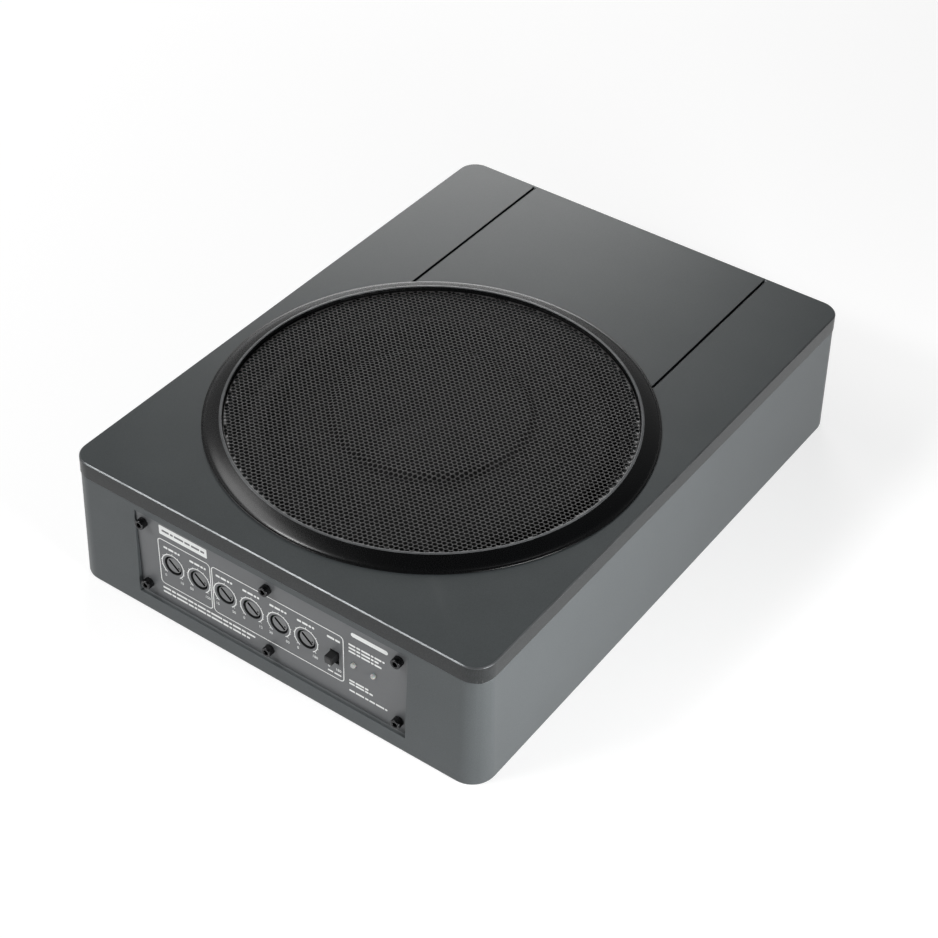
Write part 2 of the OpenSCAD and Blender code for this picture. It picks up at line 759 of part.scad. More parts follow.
// Wound ring core of the power converter
module power_transformer() {
    turns = 24;
    color([0.70, 0.38, 0.18]) translate([-20, 118, amp_top]) {
        ring(9, 21, 1.2, 18);
        for (i = [0:turns - 1]) rotate([0, 0, 360 * i / turns])
            translate([8.2, -0.8, 0.4]) cube([13.6, 1.6, 18.4]);
    }
}

// Output filter choke
module output_choke() {
    color([0.35, 0.35, 0.36]) translate([34, 122, amp_top]) {
        cylinder(h = 16, r = 12);
        translate([0, 0, 16 - eps]) cylinder(h = 3, r = 9);
    }
}

// Six power transistors against the heat-sink rail
module power_transistors() {
    color([0.10, 0.10, 0.10]) for (y = transistor_y) {
        span([rail_x, y - 4.6, amp_top + 4], [rail_x + transistor_t, y + 4.6, 30]);
        for (k = [-1, 0, 1]) span([rail_x + 2, y + 2.5 * k - 0.4, amp_top],
                                  [rail_x + 2.7, y + 2.5 * k + 0.4, amp_top + 4 + eps]);
    }
}

// Steel bar that presses the transistors to the rail
module transistor_clamp() {
    x0 = rail_x + transistor_t;
    color([0.58, 0.58, 0.60]) difference() {
        span([x0, rail_y0 + 1, 22], [x0 + clamp_t, rail_y1 - 1, 31.5]);
        for (y = clamp_screw_y) translate([x0 - 1, y, 27]) rotate([0, 90, 0])
            cylinder(h = 4, r = 1.7);
    }
}

// Screws of the clamp bar
module clamp_screws() {
    color([0.60, 0.60, 0.62]) for (y = clamp_screw_y)
        translate([rail_x + transistor_t + clamp_t + 1.8, y, 27]) rotate([0, -90, 0])
            pan_screw(2.8, 1.8, 1.5, 11, $fn = 32);
}

// ---------- rear panel ----------

// Connector plate in the rear pocket
module rear_panel() {
    gap = 0.25;
    color([0.20, 0.21, 0.21]) difference() {
        span([-pocket_half + gap, pocket_y, pocket_z0 + gap],
             [pocket_half - gap, rear_y, pocket_z1 - gap]);
        for (x = rear_screw_x) for (z = rear_screw_z) rod_y(x, z, 1.6, pocket_y - 1, rear_y + 1);
        for (x = jack_x) rod_y(x, jack_z, 4.6, pocket_y - 1, rear_y + 1);
        span([level_x - 8.1, pocket_y - 1, 30.4], [level_x + 8.1, rear_y + 1, 41.6]);
        span([remote_x - 7.1, pocket_y - 1, 30.4], [remote_x + 7.1, rear_y + 1, 41.6]);
    }
}

// Four screws that hold the rear panel
module rear_panel_screws() {
    color([0.05, 0.05, 0.05]) for (x = rear_screw_x) for (z = rear_screw_z)
        translate([x, rear_y + 2.2, z]) rotate([90, 0, 0])
            pan_screw(2.75, 2.2, 1.5, rear_t + 1.6, $fn = 48);
}

// Three-pole power terminal: square wire entries below, clamping screws above
module power_terminal() {
    color([0.07, 0.07, 0.07]) difference() {
        span([pole_x[0] - pole_w / 2 - 1, rear_y, terminal_z0],
             [pole_x[2] + pole_w / 2 + 1, rear_y + terminal_d, terminal_z0 + terminal_h]);
        for (x = pole_x) {
            span([x - 3.6, rear_y + 1.5, terminal_z0 + 2.4],
                 [x + 3.6, rear_y + terminal_d + 1, terminal_z0 + 9.6]);
            rod_y(x, terminal_z0 + 17, 3.9, rear_y + 3, rear_y + terminal_d + 1);
        }
    }
}

// Clamping screws of the power terminal
module terminal_screws() {
    color([0.72, 0.70, 0.62]) for (x = pole_x)
        translate([x, rear_y + 8, terminal_z0 + 17]) rotate([90, 0, 0])
            pan_screw(3.5, 2.4, 1.9, 2, $fn = 48);
}

// Holder of the two blade fuses
module fuse_holder() {
    color([0.07, 0.07, 0.07]) difference() {
        span([fuse_x[0] - 5.5, rear_y, fuse_z - 12], [fuse_x[1] + 5.5, rear_y + 4, fuse_z + 12]);
        for (x = fuse_x)
            span([x - 2.9, rear_y + 1, fuse_z - 9.9], [x + 2.9, rear_y + 5, fuse_z + 9.9]);
    }
}

// Two blade fuses
module fuses() {
    color([0.85, 0.55, 0.10]) for (x = fuse_x) {
        span([x - 2.6, rear_y + 1, fuse_z - 9.5], [x + 2.6, rear_y + 6.5, fuse_z + 9.5]);
        span([x - 2.0, rear_y + 6.5 - eps, fuse_z - 9.5], [x + 2.0, rear_y + 9.5, fuse_z + 9.5]);
    }
}

// Metal sleeves of the two line input jacks
module line_input_jacks() {
    color([0.80, 0.68, 0.35]) for (x = jack_x) difference() {
        union() {
            rod_y(x, jack_z, 4.15, pocket_y - 6, rear_y + 9.5);
            rod_y(x, jack_z, 5.9, pocket_y - 6, pocket_y - 0.1);
        }
        rod_y(x, jack_z, 1.6, rear_y - 1, rear_y + 11);
    }
}

// Coloured insulating rings of the jacks
module line_input_rings() {
    color([0.75, 0.10, 0.10]) for (x = jack_x) difference() {
        rod_y(x, jack_z, 6.0, rear_y, rear_y + 1.6);
        rod_y(x, jack_z, 4.3, rear_y - 1, rear_y + 3);
    }
}

// Shrouded socket for the speaker-level input, four blades at its back
module speaker_level_socket() {
    color([0.88, 0.88, 0.84]) {
        difference() {
            span([level_x - 8, pocket_y - 5, 30.5], [level_x + 8, rear_y + 7.5, 41.5]);
            span([level_x - 7, rear_y - 4, 31.5], [level_x + 7, rear_y + 9, 40.5]);
        }
        for (i = [-1.5:1:1.5])
            span([level_x + i * 3.2 - 0.4, rear_y - 4 - eps, 35.2],
                 [level_x + i * 3.2 + 0.4, rear_y - 0.5, 36.8]);
    }
}

// Modular jack for the wired remote level control
module remote_socket() {
    color([0.07, 0.07, 0.07]) difference() {
        span([remote_x - 7, pocket_y - 5, 30.5], [remote_x + 7, rear_y + 3, 41.5]);
        span([remote_x - 5, rear_y - 4.5, 32], [remote_x + 5, rear_y + 4, 38.2]);
        span([remote_x - 2, rear_y - 4.5, 38], [remote_x + 2, rear_y + 4, 40.2]);
    }
}

enclosure();
top_cover();
cover_seal();
cover_screws();
grille_ring();
grille();
grille_ring_screws();
driver_basket();
driver_gasket();
driver_screws();
surround();
cone();
dust_cap();
coil_former();
voice_coil();
spider();
top_plate();
magnet();
yoke();
driver_terminals();
lead_wires();
speaker_wires();
control_panel();
panel_screws();
control_board();
board_pillars();
potentiometers();
input_gain_knob();
low_pass_knob();
subsonic_knob();
boost_level_knob();
boost_frequency_knob();
phase_knob();
phase_switch();
phase_lever();
power_light();
protection_light();
ribbon_cable();
ribbon_headers();
amplifier_board();
board_screws();
filter_capacitors();
power_transformer();
output_choke();
power_transistors();
transistor_clamp();
clamp_screws();
rear_panel();
rear_panel_screws();
power_terminal();
terminal_screws();
fuse_holder();
fuses();
line_input_jacks();
line_input_rings();
speaker_level_socket();
remote_socket();
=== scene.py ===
import json
import math

import bmesh
import bpy
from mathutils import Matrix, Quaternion, Vector


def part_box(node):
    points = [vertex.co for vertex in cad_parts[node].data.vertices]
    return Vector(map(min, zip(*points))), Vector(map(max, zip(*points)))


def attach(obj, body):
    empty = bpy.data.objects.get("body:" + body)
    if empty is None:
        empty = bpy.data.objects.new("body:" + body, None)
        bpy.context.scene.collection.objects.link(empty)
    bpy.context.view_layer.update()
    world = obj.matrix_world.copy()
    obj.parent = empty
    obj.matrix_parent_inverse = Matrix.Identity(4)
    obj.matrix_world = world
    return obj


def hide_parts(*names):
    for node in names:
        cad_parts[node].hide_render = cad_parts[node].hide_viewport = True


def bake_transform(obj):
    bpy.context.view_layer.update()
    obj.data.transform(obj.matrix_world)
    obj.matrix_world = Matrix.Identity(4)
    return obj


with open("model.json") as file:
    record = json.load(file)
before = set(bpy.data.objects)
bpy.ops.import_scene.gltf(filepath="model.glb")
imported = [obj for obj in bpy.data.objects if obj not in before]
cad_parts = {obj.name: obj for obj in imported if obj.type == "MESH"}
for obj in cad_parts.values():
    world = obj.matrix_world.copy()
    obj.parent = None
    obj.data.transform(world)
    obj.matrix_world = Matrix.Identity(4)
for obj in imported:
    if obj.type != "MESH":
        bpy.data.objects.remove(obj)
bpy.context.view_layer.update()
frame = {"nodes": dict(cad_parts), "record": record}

# The looks of a powered under-seat car subwoofer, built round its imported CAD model.
# Lengths in this file are millimetres and become metres where a mesh, light or camera is made.
# +X is right when facing the control panel, +Y goes from the panel to the connectors, +Z is up.

MM = 0.001
NODES = frame["nodes"]


def corners(node):
    """Lowest and highest corner of a CAD node, in millimetres."""
    low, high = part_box(node)
    return low / MM, high / MM


# ---------- camera ----------

CAMERA_PLACE = (462.8, -683.2, 725.3)
CAMERA_AZIMUTH = 34.26
CAMERA_ELEVATION = 40.74
CAMERA_ROLL = 1.81
CAMERA_LENS = 77.75
SENSOR = 36.0


def make_camera():
    """Camera that looks down at the front right corner."""
    azimuth, elevation = math.radians(CAMERA_AZIMUTH), math.radians(CAMERA_ELEVATION)
    ahead = Vector((-math.sin(azimuth) * math.cos(elevation),
                    math.cos(azimuth) * math.cos(elevation), -math.sin(elevation)))
    data = bpy.data.cameras.new("camera")
    data.lens = CAMERA_LENS
    data.sensor_width = SENSOR
    data.clip_start = 0.01
    data.clip_end = 100
    camera = bpy.data.objects.new("camera", data)
    camera.location = Vector(CAMERA_PLACE) * MM
    camera.rotation_mode = "QUATERNION"
    aim = ahead.to_track_quat("-Z", "Y")
    aim.rotate(Quaternion(ahead, math.radians(-CAMERA_ROLL)))
    camera.rotation_quaternion = aim
    bpy.context.scene.collection.objects.link(camera)
    bpy.context.scene.camera = camera


# ---------- materials ----------

def new_material(name, **sockets):
    """A material and its Principled shader, with fixed values set on the shader's own sockets."""
    material = bpy.data.materials.new(name)
    material.use_nodes = True
    shader = material.node_tree.nodes["Principled BSDF"]
    for socket, value in sockets.items():
        shader.inputs[socket.replace("_", " ")].default_value = value
    return material, shader


def place(material, stretch=(1, 1, 1)):
    """The piece's own coordinates, stretched."""
    tree = material.node_tree
    where = tree.nodes.new("ShaderNodeTexCoord")
    mapping = tree.nodes.new("ShaderNodeMapping")
    mapping.inputs["Scale"].default_value = stretch
    tree.links.new(where.outputs["Object"], mapping.inputs["Vector"])
    return mapping.outputs["Vector"]


def noise(material, size, detail=3.0, stretch=(1, 1, 1)):
    """Soft noise whose features are about size millimetres across."""
    tree = material.node_tree
    texture = tree.nodes.new("ShaderNodeTexNoise")
    texture.inputs["Scale"].default_value = 1 / (size * MM)
    texture.inputs["Detail"].default_value = detail
    tree.links.new(place(material, stretch), texture.inputs["Vector"])
    return texture.outputs["Fac"]


def waves(material, pitch, direction, distortion=0.0):
    """Sine bands that repeat every pitch millimetres."""
    tree = material.node_tree
    texture = tree.nodes.new("ShaderNodeTexWave")
    texture.wave_type = "BANDS"
    texture.bands_direction = direction
    texture.wave_profile = "SIN"
    texture.inputs["Scale"].default_value = math.pi / (10 * pitch * MM)
    texture.inputs["Distortion"].default_value = distortion
    tree.links.new(place(material), texture.inputs["Vector"])
    return texture.outputs["Fac"]


def ramp(material, factor, stops):
    """Colours or greys along factor: stops are (position, colour)."""
    tree = material.node_tree
    blend = tree.nodes.new("ShaderNodeValToRGB")
    while len(blend.color_ramp.elements) < len(stops):
        blend.color_ramp.elements.new(0.5)
    for element, (position, colour) in zip(blend.color_ramp.elements, stops):
        element.position = position
        element.color = (*colour, 1) if len(colour) == 3 else (colour[0],) * 3 + (1,)
    tree.links.new(factor, blend.inputs["Fac"])
    return blend.outputs["Color"]


def span(material, factor, low, high):
    """factor mapped from 0..1 to low..high."""
    tree = material.node_tree
    remap = tree.nodes.new("ShaderNodeMapRange")
    remap.inputs["To Min"].default_value = low
    remap.inputs["To Max"].default_value = high
    tree.links.new(factor, remap.inputs["Value"])
    return remap.outputs["Result"]


def combine(material, operation, a, b):
    """Arithmetic on two outputs, or on an output and a number."""
    tree = material.node_tree
    step = tree.nodes.new("ShaderNodeMath")
    step.operation = operation
    for socket, value in zip(step.inputs, (a, b)):
        if isinstance(value, (int, float)):
            socket.default_value = value
        else:
            tree.links.new(value, socket)
    return step.outputs["Value"]


def mix_colour(material, factor, a, b):
    """Colour a where factor is 0 and b where it is 1."""
    tree = material.node_tree
    mixer = tree.nodes.new("ShaderNodeMix")
    mixer.data_type = "RGBA"
    for socket, value in zip((mixer.inputs[0], mixer.inputs[6], mixer.inputs[7]), (factor, a, b)):
        if isinstance(value, tuple):
            socket.default_value = (*value, 1)
        else:
            tree.links.new(value, socket)
    return mixer.outputs[2]


def attribute(material, name):
    """A number stored on the mesh."""
    reader = material.node_tree.nodes.new("ShaderNodeAttribute")
    reader.attribute_name = name
    return reader.outputs["Fac"]


def relief(material, shader, height, depth):
    """Bump of depth millimetres from height."""
    tree = material.node_tree
    bump = tree.nodes.new("ShaderNodeBump")
    bump.inputs["Strength"].default_value = 1.0
    bump.inputs["Distance"].default_value = depth * MM
    tree.links.new(height, bump.inputs["Height"])
    tree.links.new(bump.outputs["Normal"], shader.inputs["Normal"])


def scaled(colour, factor):
    return tuple(c * factor for c in colour)


def surface(material, shader, colour, roughness):
    """Links the shader's colour and roughness."""
    tree = material.node_tree
    tree.links.new(colour, shader.inputs["Base Color"])
    tree.links.new(roughness, shader.inputs["Roughness"])


def paint(name, colour, roughness, grain=0.35, depth=0.012, specular=0.5, wear_and_highlight=None, side=None,
          bare_edges=False):
    """Satin paint: orange-peel grain, faint mottling, edges lighter where marked (wear, and a
    painted highlight on a marked lip) and, if given, painted shade: a darker side colour.
    """
    material, shader = new_material(name, Specular_IOR_Level=specular)
    cloud = noise(material, 28, 4)
    fine = noise(material, grain, 2)
    body = mix_colour(material, cloud, scaled(colour, 0.90), scaled(colour, 1.12))
    # Painted shade: faces marked as sides take the darker side colour.
    if side:
        body = mix_colour(material, attribute(material, "side"), body, side)
    peaks = ramp(material, fine, [(0.35, (0.0,)), (0.7, (1.0,))])
    speck = combine(material, "MULTIPLY", peaks, 0.2)
    grained = mix_colour(material, speck, body, scaled(colour, 2.2))
    # Edge wear, and a painted highlight where a whole lip is marked: the edge mark broken up by
    # noise.
    wear_and_highlight_mask = combine(material, "MULTIPLY", attribute(material, "edge"),
                     span(material, noise(material, 6, 5), 0.35, 1.0))
    blotches = combine(material, "ADD", combine(material, "MULTIPLY", fine, 0.6),
                       combine(material, "MULTIPLY", cloud, 0.4))
    if bare_edges:
        material.node_tree.links.new(wear_and_highlight_mask, shader.inputs["Metallic"])
    surface(material, shader, mix_colour(material, wear_and_highlight_mask, grained, wear_and_highlight or scaled(colour, 1.5)),
            span(material, blotches, roughness - 0.06, roughness + 0.06))
    relief(material, shader, fine, depth)
    return material


def plastic(name, colour, roughness, grain=0.25, depth=0.006, specular=0.5, side=None):
    """Moulded plastic with a fine spark-eroded texture and, if given, painted shade: a darker
    colour on the marked sides.
    """
    material, shader = new_material(name, Specular_IOR_Level=specular)
    fine = noise(material, grain, 3)
    cloud = noise(material, 9, 3)
    body = mix_colour(material, cloud, scaled(colour, 0.88), scaled(colour, 1.14))
    # Painted shade: faces marked as sides take the darker side colour.
    if side:
        body = mix_colour(material, attribute(material, "side"), body, side)
    surface(material, shader, body, span(material, fine, roughness - 0.07, roughness + 0.07))
    relief(material, shader, fine, depth)
    return material


def metal(name, colour, roughness, stretch=(1, 1, 18), grain=0.5, depth=0.004):
    """Bare or plated metal with drawn scratches."""
    material, shader = new_material(name, Metallic=1.0)
    scratch = noise(material, grain, 5, stretch)
    cloud = noise(material, 5, 3)
    surface(material, shader, mix_colour(material, cloud, scaled(colour, 0.82), colour),
            span(material, scratch, roughness - 0.1, roughness + 0.12))
    relief(material, shader, scratch, depth)
    return material


def rubber(name, colour, roughness=0.75, grain=0.4, depth=0.02):
    """Matte rubber or foam."""
    material, shader = new_material(name, Specular_IOR_Level=0.35)
    pores = noise(material, grain, 4)
    surface(material, shader,
            mix_colour(material, pores, scaled(colour, 0.75), scaled(colour, 1.25)),
            span(material, pores, roughness - 0.1, roughness + 0.1))
    relief(material, shader, pores, depth)
    return material


def cloth(name, colour, pitch):
    """Plain-woven resin-coated cloth."""
    material, shader = new_material(name, Specular_IOR_Level=0.3)
    warp = waves(material, pitch, "X")
    weft = waves(material, pitch, "Y")
    weave = combine(material, "MULTIPLY", warp, weft)
    surface(material, shader,
            mix_colour(material, weave, scaled(colour, 0.55), scaled(colour, 1.1)),
            span(material, noise(material, 2, 3), 0.6, 0.85))
    relief(material, shader, weave, 0.08)
    return material


def paper(name, colour):
    """Pressed and coated cone paper with short fibres."""
    material, shader = new_material(name, Specular_IOR_Level=0.35)
    fibres = noise(material, 1.4, 6, (1, 6, 1))
    surface(material, shader,
            mix_colour(material, fibres, scaled(colour, 0.7), scaled(colour, 1.4)),
            span(material, fibres, 0.62, 0.85))
    relief(material, shader, fibres, 0.05)
    return material


def winding(name, colour, pitch, direction):
    """Enamelled wire laid side by side."""
    material, shader = new_material(name, Metallic=0.85, Coat_Weight=0.4, Coat_Roughness=0.15)
    turns = waves(material, pitch, direction, distortion=0.4)
    surface(material, shader,
            mix_colour(material, turns, scaled(colour, 0.35), colour),
            span(material, noise(material, 1.5, 3), 0.22, 0.4))
    relief(material, shader, turns, 0.12)
    return material


def laminate(name):
    """Circuit board: solder mask over copper tracks, with a faint glass weave."""
    material, shader = new_material(name, Specular_IOR_Level=0.5, Coat_Weight=0.3,
                                    Coat_Roughness=0.2)
    tree = material.node_tree
    bricks = tree.nodes.new("ShaderNodeTexBrick")
    bricks.offset = 0.37
    bricks.squash = 1.6
    bricks.squash_frequency = 3
    bricks.inputs["Scale"].default_value = 1 / (22 * MM)
    bricks.inputs["Mortar Size"].default_value = 0.05
    bricks.inputs["Mortar Smooth"].default_value = 0.1
    bricks.inputs["Brick Width"].default_value = 0.9
    bricks.inputs["Row Height"].default_value = 0.16
    tree.links.new(place(material), bricks.inputs["Vector"])
    tracks = bricks.outputs["Fac"]
    weave = combine(material, "MULTIPLY", waves(material, 0.8, "X"), waves(material, 0.8, "Y"))
    mask = mix_colour(material, weave, (0.008, 0.050, 0.020), (0.012, 0.070, 0.028))
    surface(material, shader, mix_colour(material, tracks, mask, (0.030, 0.140, 0.050)),
            span(material, noise(material, 3, 3), 0.28, 0.42))
    height = combine(material, "ADD", tracks, combine(material, "MULTIPLY", weave, 0.3))
    relief(material, shader, height, 0.03)
    return material


def ribbon(name, colour):
    """Flat cable: parallel cores under one jacket."""
    material, shader = new_material(name, Specular_IOR_Level=0.4)
    cores = waves(material, 1.27, "Z")
    surface(material, shader, mix_colour(material, cores, scaled(colour, 0.6), colour),
            span(material, noise(material, 1, 3), 0.4, 0.55))
    relief(material, shader, cores, 0.25)
    return material


def lens(name, colour):
    """Frosted light cap."""
    material, shader = new_material(name, Transmission_Weight=0.35, IOR=1.49,
                                    Subsurface_Weight=0.2, Subsurface_Scale=0.001)
    frost = noise(material, 0.3, 3)
    surface(material, shader, mix_colour(material, frost, scaled(colour, 0.85), colour),
            span(material, frost, 0.18, 0.34))
    relief(material, shader, frost, 0.004)
    return material


def ink(name, colour):
    """Screen-printed ink, thin in places."""
    material, shader = new_material(name, Specular_IOR_Level=0.4)
    cover = noise(material, 0.5, 4)
    surface(material, shader, mix_colour(material, cover, scaled(colour, 0.86), colour),
            span(material, cover, 0.45, 0.62))
    relief(material, shader, cover, 0.003)
    return material


SLOT_MATERIALS = {
    "cast_body": lambda: paint("body_paint", (0.070, 0.077, 0.080), 0.40, specular=0.2),
    # Painted shade: the cover's upright sides take near-black, much darker than its top.
    "cast_cover": lambda: paint("cover_paint", (0.052, 0.059, 0.061), 0.33, specular=0.34,
                                 side=(0.004, 0.0045, 0.005), wear_and_highlight=(0.17, 0.175, 0.18),
                                 bare_edges=True),
    # Painted highlight: the ring's marked lip takes a colour far lighter than the ring.
    "ring_paint": lambda: paint("ring_paint", (0.0020, 0.0022, 0.0024), 0.27, grain=0.3,
                                depth=0.004, wear_and_highlight=(0.16, 0.165, 0.17)),
    "grille_mesh": lambda: paint("grille_paint", (0.046, 0.045, 0.045), 0.40, depth=0.003,
                                specular=0.45),
    # Painted shade: the plate's edges and back take near-black, for the dark gap round the plate.
    "panel_plate": lambda: paint("panel_paint", (0.098, 0.102, 0.106), 0.42, grain=0.22,
                                 depth=0.006, side=(0.004, 0.004, 0.004)),
    "rear_plate": lambda: paint("rear_plate_paint", (0.050, 0.052, 0.054), 0.45, grain=0.25),
    "black_screw": lambda: metal("black_oxide", (0.050, 0.050, 0.052), 0.24, stretch=(1, 1, 1)),
    "zinc_screw": lambda: metal("zinc", (0.090, 0.090, 0.094), 0.34),
    "seal_rubber": lambda: rubber("seal_rubber", (0.018, 0.018, 0.018)),
    "gasket_foam": lambda: rubber("gasket_foam", (0.022, 0.022, 0.023), 0.9, grain=0.9,
                                  depth=0.15),
    "basket_paint": lambda: paint("basket_paint", (0.010, 0.010, 0.011), 0.50, specular=0.3),
    "cone_paper": lambda: paper("cone_paper", (0.009, 0.009, 0.009)),
    "former_film": lambda: metal("former_film", (0.75, 0.70, 0.52), 0.30),
    "copper_wire": lambda: winding("copper_wire", (0.80, 0.36, 0.16), 0.45, "Z"),
    "spider_cloth": lambda: cloth("spider_cloth", (0.55, 0.40, 0.16), 0.7),
    "motor_steel": lambda: metal("motor_steel", (0.52, 0.52, 0.54), 0.34, stretch=(1, 9, 1)),
    "ferrite": lambda: rubber("ferrite", (0.040, 0.040, 0.044), 0.55, grain=0.8, depth=0.03),
    "terminal_card": lambda: plastic("terminal_card", (0.30, 0.17, 0.07), 0.55, grain=0.8),
    "wire_jacket": lambda: plastic("wire_jacket", (0.16, 0.02, 0.02), 0.4),
    "board_laminate": lambda: laminate("board_laminate"),
    "brass_pillar": lambda: metal("brass", (0.80, 0.60, 0.26), 0.26),
    "black_plastic": lambda: plastic("black_plastic", (0.006, 0.006, 0.0065), 0.36),
    # Painted shade: the knobs' sides and slots take near-black, for the dark gap and slots.
    "knob_plastic": lambda: plastic("knob_plastic", (0.155, 0.158, 0.162), 0.38,
                                    side=(0.003, 0.003, 0.003)),
    "switch_shell": lambda: metal("switch_shell", (0.55, 0.55, 0.57), 0.32),
    "light_lens": lambda: lens("light_lens", (0.66, 0.68, 0.66)),
    "ribbon_jacket": lambda: ribbon("ribbon_jacket", (0.42, 0.43, 0.45)),
    "capacitor_sleeve": lambda: plastic("capacitor_sleeve", (0.015, 0.022, 0.10), 0.25, grain=1.2),
    "enamel_winding": lambda: winding("enamel_winding", (0.72, 0.30, 0.11), 1.0, "Z"),
    "choke_ferrite": lambda: rubber("choke_ferrite", (0.075, 0.075, 0.08), 0.5, grain=0.8,
                                    depth=0.03),
    "epoxy": lambda: plastic("epoxy", (0.020, 0.020, 0.021), 0.5, grain=0.4),
    "plated_screw": lambda: metal("nickel", (0.74, 0.70, 0.60), 0.24),
    "fuse_body": lambda: lens("fuse_body", (0.85, 0.36, 0.03)),
    "gold_plate": lambda: metal("gold_plate", (0.95, 0.66, 0.26), 0.2),
    "ring_plastic": lambda: plastic("jack_ring_plastic", (0.42, 0.02, 0.02), 0.3),
    "socket_nylon": lambda: plastic("socket_nylon", (0.70, 0.70, 0.64), 0.45),
}
MATERIALS = {}


def dress_nodes():
    """Gives every CAD node the material of its slot."""
    for part in frame["record"]["subparts"]:
        slot = part["material_slot"]
        if slot not in MATERIALS:
            MATERIALS[slot] = SLOT_MATERIALS[slot]()
        data = NODES[part["node"]].data
        data.materials.clear()
        data.materials.append(MATERIALS[slot])


SLOT_OF = {part["node"]: part["material_slot"] for part in frame["record"]["subparts"]}
BODY_OF = {node: body for body, held in frame["record"]["behaviour"]["bodies"].items()
           for node in held}

# ---------- mesh helpers ----------

SHARP = math.radians(48)
ROUNDED_ANGLE = math.radians(40)
JOIN_DISTANCE = 2e-6
FLAT_ANGLE = math.radians(0.6)


def add_piece(name, mesh_data, node, material=None, stands_for=True, bend=None):
    """Links a mesh as a piece that rides with node's body or, when bend is given, as a loose piece
    with its place baked in; the points of bend, a fixed and a moving one, are not used."""
    mesh = bpy.data.meshes.new(name)
    mesh_data.to_mesh(mesh)
    mesh_data.free()
    piece = bpy.data.objects.new(name, mesh)
    bpy.context.scene.collection.objects.link(piece)
    slot = SLOT_OF[node]
    mesh.materials.append(material or MATERIALS[slot])
    mesh.shade_smooth()
    mesh.set_sharp_from_angle(angle=SHARP)
    normals = piece.modifiers.new("normals", "WEIGHTED_NORMAL")
    normals.keep_sharp = True
    normals.weight = 80
    if stands_for:
        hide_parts(node)
    if bend:
        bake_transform(piece)
    else:
        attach(piece, BODY_OF[node])
    return piece


def merged(node):
    """A node's mesh with its split corners joined and its flat faces whole."""
    mesh = bmesh.new()
    mesh.from_mesh(NODES[node].data)
    bmesh.ops.remove_doubles(mesh, verts=mesh.verts, dist=JOIN_DISTANCE)
    bmesh.ops.dissolve_limit(mesh, angle_limit=FLAT_ANGLE, verts=mesh.verts,
                             edges=mesh.edges)
    return mesh


def round_edges(mesh, radius, segments, chosen, profile=0.5, mark=1.0):
    """Rounds the sharp edges that chosen(middle, edge) picks, or chamfers them at profile 0.25."""
    edge_mark = mesh.faces.layers.float.get("edge") or mesh.faces.layers.float.new("edge")
    picked = [
        e for e in mesh.edges
        if len(e.link_faces) == 2 and e.calc_face_angle() > ROUNDED_ANGLE
        and chosen((e.verts[0].co + e.verts[1].co) / 2 / MM, e)
    ]
    made = bmesh.ops.bevel(mesh, geom=picked, offset=radius * MM, offset_type="OFFSET",
                           segments=segments, profile=profile, affect="EDGES",
                           clamp_overlap=False)
    for face in made["faces"]:
        face[edge_mark] = mark


def upright(face):
    return abs(face.normal.z) < 0.3


def behind_front(front):
    """Picks the faces of a panel part that don't lie in its front."""
    return lambda face: (face.normal.y > -0.8
                         or face.calc_center_median().y > (front + 0.1) * MM)


def rounded_node(node, name, rules, is_side=upright):
    """Replaces a node by its own shape with rounded edges: rules are what
    round_edges takes after the mesh."""
    mesh = merged(node)
    for rule in rules:
        round_edges(mesh, *rule)
    # Faces marked here as sides get the side colour of paint and plastic: painted shade.
    side_mark = mesh.faces.layers.float.new("side")
    mesh.normal_update()
    for face in mesh.faces:
        face[side_mark] = float(is_side(face))
    return add_piece(name, mesh, node)


# ---------- places taken from the frame ----------

COVER_LOW, COVER_HIGH = corners("top_cover")
BASE_HIGH = corners("enclosure")[1]
RING_LOW, RING_HIGH = corners("grille_ring")
GRILLE_LOW, GRILLE_HIGH = corners("grille")
SCREWS_LOW, SCREWS_HIGH = corners("panel_screws")

TOP = COVER_HIGH.z
RING_X = (RING_LOW.x + RING_HIGH.x) / 2
RING_Y = (RING_LOW.y + RING_HIGH.y) / 2
RING_R = (RING_HIGH.x - RING_LOW.x) / 2
PANEL_FRONT = corners("control_panel")[0].y
KNOBS = ["input_gain_knob", "low_pass_knob", "subsonic_knob", "boost_level_knob",
         "boost_frequency_knob", "phase_knob"]


def middle(node):
    low, high = corners(node)
    return (low + high) / 2


# ---------- castings ----------

CORNER_X, CORNER_Y = 113, 159.5  # centre of the casting's round corners
GROOVE_X = 77
GROOVE_START, GROOVE_END = 48, 168.5
BASE_RIM_Z = 66.5


def near(value, target, reach=0.06):
    return abs(value - target) < reach


def make_cover():
    """Cover: soft top edge, crisp skirt edge and eased grooves."""
    def top_rim(p, e):
        return near(p.z, TOP) and (abs(p.x) > COVER_HIGH.x - 8 or abs(p.y) > COVER_HIGH.y - 8)

    def groove_rim(p, e):
        return near(p.z, TOP) and abs(abs(p.x) - GROOVE_X) < 1 and (
            GROOVE_START < p.y < GROOVE_END)

    def skirt_rim(p, e):
        return near(p.z, COVER_LOW.z + 5.8) and (
            abs(p.x) > COVER_HIGH.x - 2.2 or abs(p.y) > COVER_HIGH.y - 2.2
            or (abs(p.x) - CORNER_X) ** 2 + (abs(p.y) - CORNER_Y) ** 2 > 11.6 ** 2
            and abs(p.x) > CORNER_X and abs(p.y) > CORNER_Y)

    rounded_node("top_cover", "cover_shell",
                 [(0.7, 6, top_rim, 0.26), (0.2, 2, groove_rim, 0.5, 0.0),
                  (0.35, 2, skirt_rim, 0.5, 0.15)])


